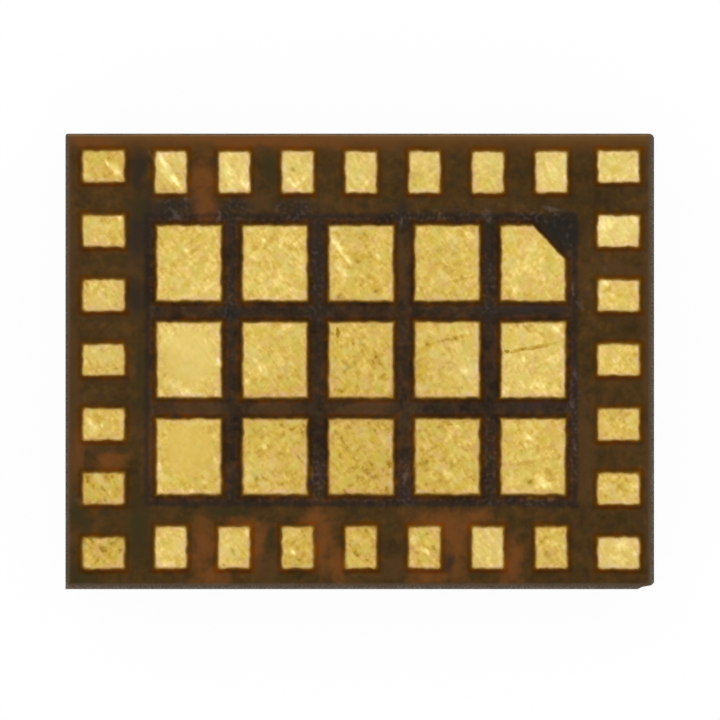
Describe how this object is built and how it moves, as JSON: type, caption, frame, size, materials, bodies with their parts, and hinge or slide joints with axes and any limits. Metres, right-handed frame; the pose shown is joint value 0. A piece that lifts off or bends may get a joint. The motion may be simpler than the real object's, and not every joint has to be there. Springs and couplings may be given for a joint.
{
  "type": "power amplifier chip",
  "caption": "Radio power amplifier module in a flat moulded land grid package, with a ring of signal lands round a field of large ground lands; it lies with its lands up.",
  "frame": {"origin": "centre of the footprint, on the marking face of the moulding, which is the face it lies on", "axes": "+X along the long side, +Y along the short side, +Z out of the land side; the index land with the cut corner is at +X +Y"},
  "size_m": [0.0046, 0.0036, 0.0008],
  "materials": {
    "mould_compound": "fine matt grain with saw marks on the sides",
    "laminate": "sawn glass epoxy",
    "lacquer": "dark brown lacquer, stained and worn to satin",
    "land_gold": "matt gold plating over nickel, scratched",
    "copper": "plain copper",
    "amplifier_die": "polished semiconductor",
    "silicon_die": "polished semiconductor",
    "die_attach": "silver filled adhesive",
    "wire_gold": "bright drawn wire",
    "capacitor_ceramic": "fired ceramic with tinned ends",
    "inductor_ceramic": "fired ceramic with tinned ends",
    "solder": "bright tin solder"
  },
  "bodies": {
    "root": {"mould_cap": "mould_compound", "laminate_core": "laminate", "land_side_mask": "lacquer", "component_side_mask": "lacquer", "ground_plane": "copper", "component_side_copper": "copper", "vias": "copper", "amplifier_die_high": "amplifier_die", "amplifier_die_low": "amplifier_die", "controller_die": "silicon_die", "switch_die": "silicon_die", "die_attach": "die_attach", "bond_wires": "wire_gold", "capacitors": "capacitor_ceramic", "inductors": "inductor_ceramic", "solder_joints": "solder", "land_01": "land_gold", "land_02": "land_gold", "land_03": "land_gold", "land_04": "land_gold", "land_05": "land_gold", "land_06": "land_gold", "land_07": "land_gold", "land_08": "land_gold", "land_09": "land_gold", "land_10": "land_gold", "land_11": "land_gold", "land_12": "land_gold", "land_13": "land_gold", "land_14": "land_gold", "land_15": "land_gold", "land_16": "land_gold", "land_17": "land_gold", "land_18": "land_gold", "land_19": "land_gold", "land_20": "land_gold", "land_21": "land_gold", "land_22": "land_gold", "land_23": "land_gold", "land_24": "land_gold", "land_25": "land_gold", "land_26": "land_gold", "land_27": "land_gold", "land_28": "land_gold", "ground_land_a1": "land_gold", "ground_land_a2": "land_gold", "ground_land_a3": "land_gold", "ground_land_a4": "land_gold", "ground_land_a5": "land_gold", "ground_land_b1": "land_gold", "ground_land_b2": "land_gold", "ground_land_b3": "land_gold", "ground_land_b4": "land_gold", "ground_land_b5": "land_gold", "ground_land_c1": "land_gold", "ground_land_c2": "land_gold", "ground_land_c3": "land_gold", "ground_land_c4": "land_gold", "ground_land_c5": "land_gold"}
  },
  "joints": []
}
